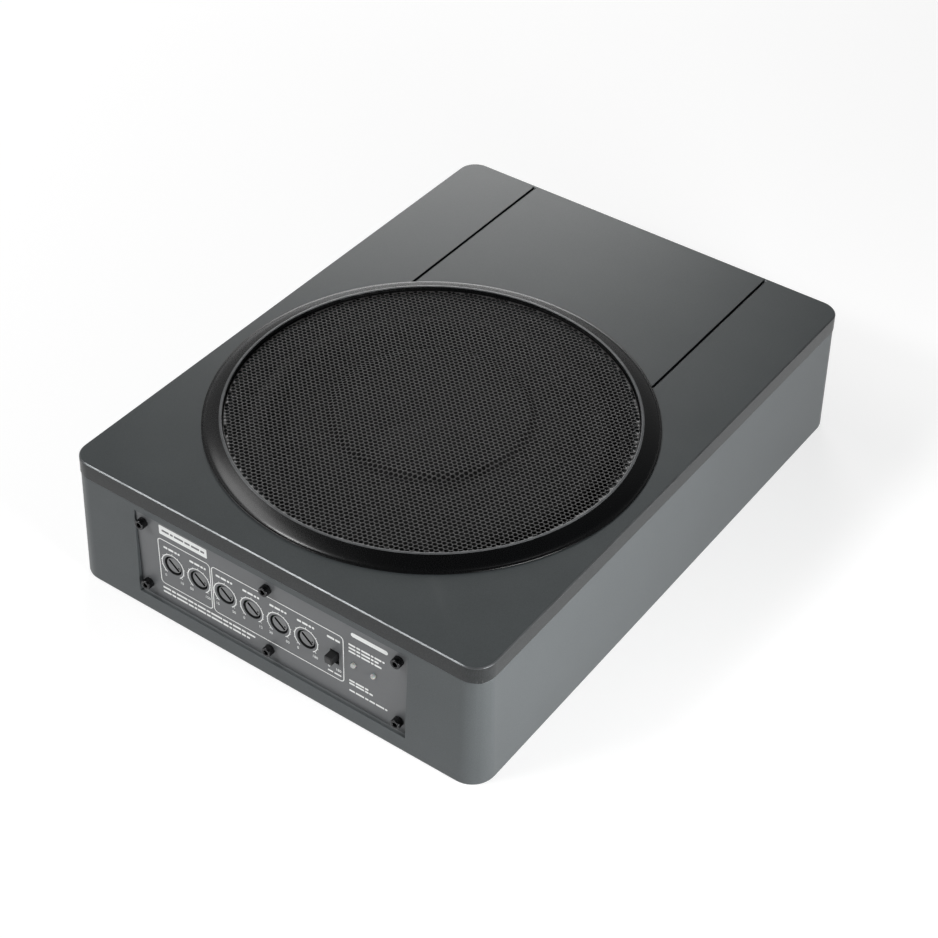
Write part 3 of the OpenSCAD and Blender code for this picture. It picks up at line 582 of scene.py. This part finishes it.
def make_enclosure():
    """Enclosure: rounded foot, crisp rim, and eased recess and pocket edges."""
    def outside(p):
        reach_x, reach_y = BASE_HIGH.x - abs(p.x), BASE_HIGH.y - abs(p.y)
        corner = math.hypot(max(abs(p.x) - CORNER_X, 0), max(abs(p.y) - CORNER_Y, 0))
        return reach_x < 2.6 or reach_y < 2.6 or corner > 10.4

    def foot(p, e):
        return near(p.z, 0) and outside(p)

    def rim(p, e):
        return near(p.z, BASE_RIM_Z) and outside(p)

    def recess(p, e):
        along_y = abs(e.verts[0].co.y - e.verts[1].co.y) / MM < 3
        front = p.y < -BASE_HIGH.y + 2.4 and abs(p.x) < 84 and 9 < p.z < 63
        back = p.y > BASE_HIGH.y - 2.4 and abs(p.x) < 97 and 9.4 < p.z < 60.6
        return along_y and (front or back)

    def bores(p, e):
        return near(p.z, 0) and not outside(p)

    rounded_node("enclosure", "enclosure_shell",
                 [(1.2, 4, foot), (0.3, 2, rim), (0.35, 2, recess), (0.3, 2, bores)])


# ---------- turned shapes ----------

def lathe(mesh, profile, segments, point):
    """Turns a profile of (radius, height) pairs; point(radius, height, angle) gives the place."""
    turned = []
    for radius, height in profile:
        if radius == 0:
            turned.append([mesh.verts.new(point(0, height, 0) * MM)] * segments)
        else:
            turned.append([mesh.verts.new(point(radius, height, math.tau * i / segments) * MM)
                           for i in range(segments)])
    for lower, upper in zip(turned, turned[1:]):
        for i in range(segments):
            j = (i + 1) % segments
            ring_of = []
            for v in (lower[i], lower[j], upper[j], upper[i]):
                if v not in ring_of:
                    ring_of.append(v)
            if len(ring_of) > 2:
                mesh.faces.new(ring_of)


def curve_through(points, steps):
    """Smooth line through points (Catmull-Rom), steps to a stretch."""
    line = []
    padded = [points[0], *points, points[-1]]
    for a, b, c, d in zip(padded, padded[1:], padded[2:], padded[3:]):
        for s in range(steps):
            t = s / steps
            line.append(tuple(
                0.5 * (2 * q + (r - p) * t + (2 * p - 5 * q + 4 * r - w) * t * t
                       + (3 * q - p - 3 * r + w) * t ** 3)
                for p, q, r, w in zip(a, b, c, d)))
    line.append(points[-1])
    return line


def make_ring():
    """Grille ring: narrow flat lip, swept slope and a small foot flange."""
    outer = RING_R
    lip = RING_HIGH.z
    bore = (GRILLE_HIGH.x - GRILLE_LOW.x) / 2 - 2.4
    slope = curve_through([(outer - 1.35, TOP + 0.95), (outer - 2.4, TOP + 1.75),
                           (outer - 5, TOP + 3.0), (outer - 7.6, TOP + 3.95),
                           (outer - 9.0, TOP + 4.4), (outer - 9.5, lip - 0.03)], 5)
    profile = [(outer - 7, TOP + 0.02), (outer - 0.25, TOP + 0.02), (outer, TOP + 0.15),
               (outer, TOP + 0.45), (outer - 0.12, TOP + 0.62), (outer - 0.35, TOP + 0.7),
               (outer - 1.1, TOP + 0.72), (outer - 1.25, TOP + 0.78)] + slope + [
        (outer - 9.8, lip), (bore + 0.35, lip), (bore + 0.12, lip - 0.08), (bore, lip - 0.3),
        (bore, TOP + 1.02), (bore + 2.5, TOP + 1.02), (outer - 7, TOP + 0.02)]
    mesh = bmesh.new()
    lathe(mesh, profile[:-1] + profile[:1], 288,
          lambda r, z, a: Vector((RING_X + r * math.cos(a), RING_Y + r * math.sin(a), z)))
    bmesh.ops.remove_doubles(mesh, verts=mesh.verts, dist=1e-6)
    bmesh.ops.recalc_face_normals(mesh, faces=mesh.faces)
    # Painted highlight: the lip faces are marked as edge, so the ring paint makes them much
    # lighter.
    edge_mark = mesh.faces.layers.float.new("edge")
    for face in mesh.faces:
        face[edge_mark] = float(face.calc_center_median().z > (lip - 0.2) * MM)
    add_piece("ring_moulding", mesh, "grille_ring")


# ---------- perforated grille ----------

PITCH = 2.62
HOLE_R = 1.05
HOLE_SIDES = 12
LATTICE_TURN = 15
SHEET = 0.5
EMBOSS_R = 51
EMBOSS_RISE = 1.6
EMBOSS_BLEND = 2.5
SPLIT_R = 75
ROLL_START = 103.4
ROLL_RATE = 0.12
RIM_STEPS = 360


def sheet_height(radius):
    """Height of the grille's upper face: raised centre, flat field and a rolled edge."""
    flat = GRILLE_HIGH.z - EMBOSS_RISE
    t = min(max((radius - EMBOSS_R + EMBOSS_BLEND) / (2 * EMBOSS_BLEND), 0), 1)
    rise = EMBOSS_RISE * (1 - t * t * (3 - 2 * t))
    roll = max(radius - ROLL_START, 0)
    return flat + rise - ROLL_RATE * roll * roll


def make_grille():
    """Steel sheet punched with staggered round holes, in an inner and an outer piece."""
    rim = (GRILLE_HIGH.x - GRILLE_LOW.x) / 2 - 2.8
    reach = rim - 0.45
    mesh = bmesh.new()

    def vertex(x, y, z=None):
        height = sheet_height(math.hypot(x, y)) if z is None else z
        return mesh.verts.new(Vector((RING_X + x, RING_Y + y, height)) * MM)

    first, second = (
        (PITCH * math.cos(math.radians(LATTICE_TURN + a)),
         PITCH * math.sin(math.radians(LATTICE_TURN + a))) for a in (0, 60))
    count = int(rim / PITCH * 1.2) + 2
    holes = {}
    for i in range(-count, count + 1):
        for j in range(-count, count + 1):
            x, y = i * first[0] + j * second[0], i * first[1] + j * second[1]
            if math.hypot(x, y) > reach - 0.3:
                continue
            loop = []
            for k in range(HOLE_SIDES):
                a = math.radians(LATTICE_TURN + 360 * k / HOLE_SIDES)
                px, py = x + HOLE_R * math.cos(a), y + HOLE_R * math.sin(a)
                pull = min(1, reach / math.hypot(px, py))
                loop.append(vertex(px * pull, py * pull))
            holes[i, j] = loop

    # one nine-sided web between each three neighbouring holes
    upward = (((0, 0), (0,)), ((1, 0), (6, 5, 4)), ((0, 1), (10, 9, 8)), ((0, 0), (2, 1)))
    downward = (((1, 0), (2,)), ((1, 1), (8, 7, 6)), ((0, 1), (0, 11, 10)), ((1, 0), (4, 3)))
    for i, j in list(holes):
        for pattern in (upward, downward):
            cells = [((i + di, j + dj), picks) for (di, dj), picks in pattern]
            if all(cell in holes for cell, picks in cells):
                mesh.faces.new([holes[cell][k] for cell, picks in cells for k in picks])
    for i, j in {(i - 1, j) for i, j in holes} | {(i, j - 1) for i, j in holes}:
        if (i, j) not in holes:
            cells = [((i + di, j + dj), picks) for (di, dj), picks in downward]
            if all(cell in holes for cell, picks in cells):
                mesh.faces.new([holes[cell][k] for cell, picks in cells for k in picks])

    # the plain margin between the outermost holes and the rolled edge
    border = []
    for loop in holes.values():
        for a, b in zip(loop, loop[1:] + loop[:1]):
            if mesh.edges.get((a, b)) is None:
                border.append(mesh.edges.new((a, b)))
    owner = {v: cell for cell, loop in holes.items() for v in loop}
    border += [e for e in mesh.edges
               if len(e.link_faces) == 1 and owner[e.verts[0]] != owner[e.verts[1]]]

    def circle_at(radius, z=None):
        return [vertex(radius * math.cos(math.tau * i / RIM_STEPS),
                       radius * math.sin(math.tau * i / RIM_STEPS), z) for i in range(RIM_STEPS)]

    circle = circle_at(rim)
    border += [mesh.edges.new((a, b)) for a, b in zip(circle, circle[1:] + circle[:1])]
    bmesh.ops.triangle_fill(mesh, use_beauty=True, edges=border)

    # rolled edge and the clamped rim under the ring
    rows = [circle]
    top = sheet_height(rim)
    for radius, z in ((rim + 0.15, top - 0.15), (rim + 0.2, top - 0.45), (rim + 0.2, TOP + 1.0),
                      (rim + 0.35, TOP + 0.82), (rim + 2.6, TOP + 0.82)):
        rows.append(circle_at(radius, z))
    for upper, lower in zip(rows, rows[1:]):
        for i in range(RIM_STEPS):
            j = (i + 1) % RIM_STEPS
            mesh.faces.new((upper[j], upper[i], lower[i], lower[j]))
    mesh.normal_update()
    for face in mesh.faces:
        if face.normal.z < 0:
            face.normal_flip()

    for name, inner in (("grille_centre", True), ("grille_outer", False)):
        part = mesh.copy()
        gone = []
        for face in part.faces:
            middle_of = face.calc_center_median() / MM
            inside = math.hypot(middle_of.x - RING_X, middle_of.y - RING_Y) < SPLIT_R
            if inside != inner:
                gone.append(face)
        bmesh.ops.delete(part, geom=gone, context="FACES")
        piece = add_piece(name, part, "grille")
        thick = piece.modifiers.new("sheet", "SOLIDIFY")
        thick.thickness = SHEET * MM
        thick.offset = -1
        # Painted shade: the hole walls take near-black paint for the shade inside the holes.
        piece.data.materials.append(MATERIALS["punched_edge"])
        thick.material_offset_rim = 1
    mesh.free()


# ---------- control panel ----------

SCREW_X = 78
SCREW_ZS = (16.5, 57)


def socket_screw(mesh, x, z, front):
    """Socket cap screw along +Y: chamfered knurled head, hexagonal socket and shank."""
    head_r = (SCREWS_HIGH.x - SCREWS_LOW.x - 2 * SCREW_X) / 2
    head_h = 3.8
    key = 1.3
    segments = 96
    profile = [(0, 2.3), (key, 2.2), (key, 0.3), (1.68, 0), (head_r - 0.42, 0),
               (head_r - 0.14, 0.12), (head_r - 0.02, 0.38), (head_r, 0.5), (head_r, head_h - 0.3),
               (head_r - 0.02, head_h - 0.2), (head_r - 0.2, head_h), (1.5, head_h), (1.5, 9.4),
               (1.2, 9.8), (0, 9.8)]

    def point(radius, depth, angle):
        if radius == key:
            off = (angle + math.pi / 6) % (math.pi / 3) - math.pi / 6
            radius = key / math.cos(off)
        if radius == head_r:
            radius -= 0.07 * (1 + math.cos(angle * segments / 4))
        return Vector((x + radius * math.cos(angle), front + depth, z + radius * math.sin(angle)))

    lathe(mesh, profile, segments, point)


def make_panel_screws():
    """The six screws that hold the control panel."""
    mesh = bmesh.new()
    for x in (-SCREW_X, 0, SCREW_X):
        for z in SCREW_ZS:
            socket_screw(mesh, x, z, SCREWS_LOW.y)
    bmesh.ops.recalc_face_normals(mesh, faces=mesh.faces)
    add_piece("socket_cap_screws", mesh, "panel_screws")


def make_controls():
    """Panel plate, knobs and lever with eased edges."""
    rounded_node("control_panel", "panel_plate", [(0.18, 2, lambda p, e: near(p.y, PANEL_FRONT))],
                 behind_front(PANEL_FRONT))
    for knob in KNOBS:
        low, high = corners(knob)
        rounded_node(knob, knob + "_cap", [(0.16, 2, lambda p, e: near(p.y, low.y, 0.02))],
                     behind_front(low.y))
    low, high = corners("phase_lever")
    rounded_node("phase_lever", "phase_lever_cap", [(0.5, 3, lambda p, e: p.y < low.y + 6)])


# ---------- printing on the panel ----------

INK_HEIGHT = 0.06
INK_ROOT = 0.02  # how far the print reaches into the panel


def solid(mesh, outline, front=PANEL_FRONT, height=INK_HEIGHT):
    """Thin prism of an outline of (x, z) points, standing on the panel."""
    face = [mesh.verts.new(Vector((x, front - height, z)) * MM) for x, z in outline]
    back = [mesh.verts.new(Vector((x, front + INK_ROOT, z)) * MM) for x, z in outline]
    mesh.faces.new(face)
    mesh.faces.new(back[::-1])
    count = len(outline)
    for i in range(count):
        j = (i + 1) % count
        mesh.faces.new((face[i], back[i], back[j], face[j]))


def strip(mesh, line, width, closed=False):
    """Thin printed line of the given width along points."""
    count = len(line)
    sides = []
    for i, (x, z) in enumerate(line):
        before = line[i - 1] if closed or i else line[0]
        after = line[(i + 1) % count] if closed or i < count - 1 else line[-1]
        dx, dz = after[0] - before[0], after[1] - before[1]
        length = math.hypot(dx, dz)
        nx, nz = -dz / length * width / 2, dx / length * width / 2
        sides.append([mesh.verts.new(Vector((x + s * nx, PANEL_FRONT + d, z + s * nz)) * MM)
                      for s, d in ((1, -INK_HEIGHT), (-1, -INK_HEIGHT), (-1, INK_ROOT),
                                   (1, INK_ROOT))])
    pairs = list(zip(sides, sides[1:])) + ([(sides[-1], sides[0])] if closed else [])
    for a, b in pairs:
        for k in range(4):
            mesh.faces.new((a[k], a[(k + 1) % 4], b[(k + 1) % 4], b[k]))
    if not closed:
        mesh.faces.new(sides[0][::-1])
        mesh.faces.new(sides[-1])


def arc(x, z, radius, start, stop, steps):
    return [(x + radius * math.cos(math.radians(start + (stop - start) * i / steps)),
             z + radius * math.sin(math.radians(start + (stop - start) * i / steps)))
            for i in range(steps + 1)]


def round_box(x0, z0, x1, z1, radius):
    """Outline of a box with round corners."""
    return (arc(x1 - radius, z1 - radius, radius, 0, 90, 6)
            + arc(x0 + radius, z1 - radius, radius, 90, 180, 6)
            + arc(x0 + radius, z0 + radius, radius, 180, 270, 6)
            + arc(x1 - radius, z0 + radius, radius, 270, 360, 6))


def dashes(mesh, x0, x1, z, height, lengths, gap=0.7):
    """A row of plain bars that stands for a line of print: no letters."""
    x, i = x0, 0
    while x < x1 - 0.4:
        end = min(x + lengths[i % len(lengths)], x1)
        solid(mesh, round_box(x, z - height / 2, end, z + height / 2, height * 0.3))
        x, i = end + gap, i + 1


def digits(mesh, text, x, z, height):
    """Plain numerals."""
    curve = bpy.data.curves.new("numerals", "FONT")
    curve.body = text
    curve.size = height / 0.72
    curve.align_x, curve.align_y = "CENTER", "CENTER"
    curve.resolution_u = 3
    carrier = bpy.data.objects.new("numerals", curve)
    bpy.context.scene.collection.objects.link(carrier)
    bpy.context.view_layer.update()
    evaluated = carrier.evaluated_get(bpy.context.evaluated_depsgraph_get())
    part = bmesh.new()
    part.from_mesh(evaluated.to_mesh())
    evaluated.to_mesh_clear()
    bpy.data.objects.remove(carrier)
    bpy.data.curves.remove(curve)
    for v in part.verts:
        v.co = Vector((x + v.co.x, PANEL_FRONT - INK_HEIGHT, z + v.co.y)) * MM
    grown = bmesh.ops.extrude_face_region(part, geom=list(part.faces))
    for v in grown["geom"]:
        if isinstance(v, bmesh.types.BMVert):
            v.co.y = (PANEL_FRONT + INK_ROOT) * MM
    bmesh.ops.recalc_face_normals(part, faces=part.faces)
    data = bpy.data.meshes.new("numerals")
    part.to_mesh(data)
    part.free()
    mesh.from_mesh(data)
    bpy.data.meshes.remove(data)


DIAL_NUMBERS = [("0", "10"), ("50", "150"), ("15", "50"), ("0", "12"), ("30", "80"), ("0", "180")]


def make_printing():
    """White lines, dial arcs, ticks and numbers; bars where the real panel has words."""
    mesh = bmesh.new()
    strip(mesh, round_box(-69.5, 21.5, -36.3, 51.5, 2.2), 0.5, closed=True)
    strip(mesh, round_box(-35.1, 21.5, 45.3, 51.5, 2.2), 0.5, closed=True)
    solid(mesh, round_box(-68, 54.9, -37.5, 60.7, 0.5))
    for knob, (lowest, highest) in zip(KNOBS, DIAL_NUMBERS):
        at = middle(knob)
        strip(mesh, arc(at.x, at.z, 7.0, -55, 235, 40), 0.55)
        for step in range(11):
            a = math.radians(225 - 27 * step)
            inner, outer = 7.0, 7.8 if step % 5 else 8.2
            strip(mesh, [(at.x + inner * math.cos(a), at.z + inner * math.sin(a)),
                         (at.x + outer * math.cos(a), at.z + outer * math.sin(a))], 0.3)
        digits(mesh, lowest, at.x - 5.2, at.z - 8.6, 1.7)
        digits(mesh, highest, at.x + 5.2, at.z - 8.6, 1.7)
        dashes(mesh, at.x - 5.2, at.x + 5.2, at.z + 10.4, 1.3, (2.6, 3.4, 1.6), 0.5)
    lever = middle("phase_lever")
    dashes(mesh, lever.x - 4.2, lever.x + 4.2, 47.2, 1.3, (4.4, 2.8), 0.5)
    digits(mesh, "0", lever.x - 3.4, 27.6, 1.7)
    digits(mesh, "180", lever.x + 2.2, 27.6, 1.7)
    dashes(mesh, lever.x - 4.2, lever.x + 4.2, 24.6, 0.9, (3.2, 4.2))
    solid(mesh, round_box(50, 55.6, 71.5, 58.2, 1.3))
    for z, stop in ((49.6, 69.5), (47.3, 66.0), (45.0, 68.0)):
        dashes(mesh, 48.5, stop, z, 1.1, (4.1, 2.3, 5.2, 1.5), 0.5)
    for z, stop in ((25.4, 60.0), (23.4, 62.5), (18.6, 71.0)):
        dashes(mesh, 48.5, stop, z, 1.1, (3.3, 5.0, 2.1), 0.5)
    for z, start, stop in ((18.4, -69.0, -9.5), (15.6, -69.0, -13.0)):
        dashes(mesh, start, stop, z, 1.2, (5.2, 2.6, 7.1, 3.4, 1.8), 0.5)
    bmesh.ops.recalc_face_normals(mesh, faces=mesh.faces)
    add_piece("panel_printing", mesh, "control_panel", material=MATERIALS["print_ink"],
              stands_for=False)
    label = bmesh.new()
    x = -66.2
    for width in (4.6, 1.8, 6.0, 3.4, 5.2, 2.4):
        solid(label, round_box(x, 57.2, x + width, 58.4, 0.3), PANEL_FRONT - INK_HEIGHT, 0.03)
        x += width + 0.75
    bmesh.ops.recalc_face_normals(label, faces=label.faces)
    add_piece("label_bars", label, "control_panel", stands_for=False)


# ---------- rear connectors ----------

def make_rear():
    """Rear plate and connectors with eased edges."""

    def everything(p, e):
        return True

    high = corners("rear_panel")[1]
    rounded_node("rear_panel", "rear_plate", [(0.18, 2, lambda p, e: near(p.y, high.y))])
    for node, radius in (("power_terminal", 0.3), ("fuse_holder", 0.3), ("remote_socket", 0.2),
                         ("speaker_level_socket", 0.2), ("fuses", 0.3)):
        rounded_node(node, node + "_body", [(radius, 2, everything)])
    rounded_node("line_input_jacks", "line_input_sleeves", [(0.25, 2, everything)])
    rounded_node("line_input_rings", "line_input_collars", [(0.2, 2, everything)])


# ---------- soft driver parts ----------

SURROUND_BEND = (94.2, 82.9, 16)  # fixed radius, moving radius and sectors
SPIDER_BEND = (49, 22.5, 8)
LEAD_END = 4


def make_soft_ring(node, fixed_r, moving_r, sectors):
    """A soft ring in sectors, each a loose piece; fixed_r and moving_r give its bend points, which
    are not used.
    """
    half = math.pi / sectors
    axis = Vector((RING_X, RING_Y, 0)) * MM
    for i in range(sectors):
        angle = 2 * half * i
        mesh = merged(node)
        for turn, side in ((angle + half, 1), (angle - half, -1)):
            across = Vector((-math.sin(turn), math.cos(turn), 0)) * side
            cut = bmesh.ops.bisect_plane(mesh, geom=mesh.verts[:] + mesh.edges[:] + mesh.faces[:],
                                         plane_co=axis, plane_no=across, clear_outer=True)
            rim = [e for e in cut["geom_cut"]
                   if isinstance(e, bmesh.types.BMEdge) and len(e.link_faces) == 1]
            bmesh.ops.triangle_fill(mesh, use_beauty=True, edges=rim)
        bmesh.ops.recalc_face_normals(mesh, faces=mesh.faces)
        out = Vector((math.cos(angle), math.sin(angle), 0)) * MM
        add_piece(f"{node}_sector_{i}", mesh, node,
                  bend=(axis + out * fixed_r * math.cos(half), axis + out * moving_r))


def make_soft_parts():
    """Surround, spider and lead wires, the parts that bend as the cone moves, made as loose
    pieces.
    """
    make_soft_ring("surround", *SURROUND_BEND)
    make_soft_ring("spider", *SPIDER_BEND)
    low, high = corners("lead_wires")
    add_piece("lead_wire_pair", merged("lead_wires"), "lead_wires",
              bend=(Vector((0, high.y - LEAD_END, 0)) * MM,
                    Vector((0, low.y + LEAD_END, 0)) * MM))


# ---------- making ----------

make_camera()
dress_nodes()
MATERIALS["print_ink"] = ink("print_ink", (0.86, 0.87, 0.86))
# Near-black paint for the grille's hole walls: painted shade.
MATERIALS["punched_edge"] = paint("punched_edge", (0.0025, 0.0025, 0.0025), 0.6, specular=0.15)
make_cover()
make_enclosure()
make_ring()
make_grille()
make_panel_screws()
make_controls()
make_printing()
make_rear()
make_soft_parts()

# ---------- floor and light ----------


def make_floor():
    """Wide pale floor at the foot of the cabinet."""
    mesh = bpy.data.meshes.new("floor")
    half = 20.0
    mesh.from_pydata([(-half, -half, 0), (half, -half, 0), (half, half, 0), (-half, half, 0)], [],
                     [(0, 1, 2, 3)])
    floor = bpy.data.objects.new("floor", mesh)
    bpy.context.scene.collection.objects.link(floor)
    material, shader = new_material("floor_paint", Base_Color=(0.48, 0.48, 0.48, 1), Roughness=0.9,
                                    Specular_IOR_Level=0.1, Emission_Color=(1, 1, 1, 1),
                                    Emission_Strength=0.66)
    mesh.materials.append(material)


def add_light(name, azimuth, elevation, distance, size, power):
    """Soft rectangular light aimed at the origin; azimuth is counted from +X towards +Y."""
    a, e = math.radians(azimuth), math.radians(elevation)
    away = Vector((math.cos(a) * math.cos(e), math.sin(a) * math.cos(e), math.sin(e)))
    data = bpy.data.lights.new(name, "AREA")
    data.shape = "RECTANGLE"
    data.size, data.size_y = size
    data.energy = power
    light = bpy.data.objects.new(name, data)
    light.location = away * distance
    light.rotation_mode = "QUATERNION"
    light.rotation_quaternion = (-away).to_track_quat("-Z", "Y")
    light.visible_camera = False
    bpy.context.scene.collection.objects.link(light)


def make_world():
    """Dim studio: grey near the horizon on the left, dark overhead and on the right."""
    world = bpy.data.worlds.new("studio")
    world.use_nodes = True
    tree = world.node_tree
    where = tree.nodes.new("ShaderNodeTexCoord")
    split = tree.nodes.new("ShaderNodeSeparateXYZ")
    tree.links.new(where.outputs["Generated"], split.inputs["Vector"])
    grey = ramp(world, split.outputs["Z"],
                [(0.0, (0.34,)), (0.45, (0.24,)), (0.75, (0.07,)), (0.92, (0.015,))])
    shade = tree.nodes.new("ShaderNodeMapRange")
    for socket, value in (("From Min", -0.3), ("From Max", 0.45),
                          ("To Min", 1.0), ("To Max", 0.2)):
        shade.inputs[socket].default_value = value
    tree.links.new(split.outputs["X"], shade.inputs["Value"])
    tree.links.new(shade.outputs["Result"], tree.nodes["Background"].inputs["Strength"])
    tree.links.new(grey, tree.nodes["Background"].inputs["Color"])
    bpy.context.scene.world = world


make_floor()
make_world()
add_light("back_left", 126, 23, 2.6, (1.05, 0.8), 18)
add_light("left_high", -158, 45, 2.3, (1.7, 0.9), 18)
add_light("front_left", -124, 38, 2.4, (0.6, 0.35), 17)
add_light("right_front", -19, 13, 0.6, (0.25, 0.2), 3.4)
bpy.context.scene.view_settings.view_transform = "Standard"
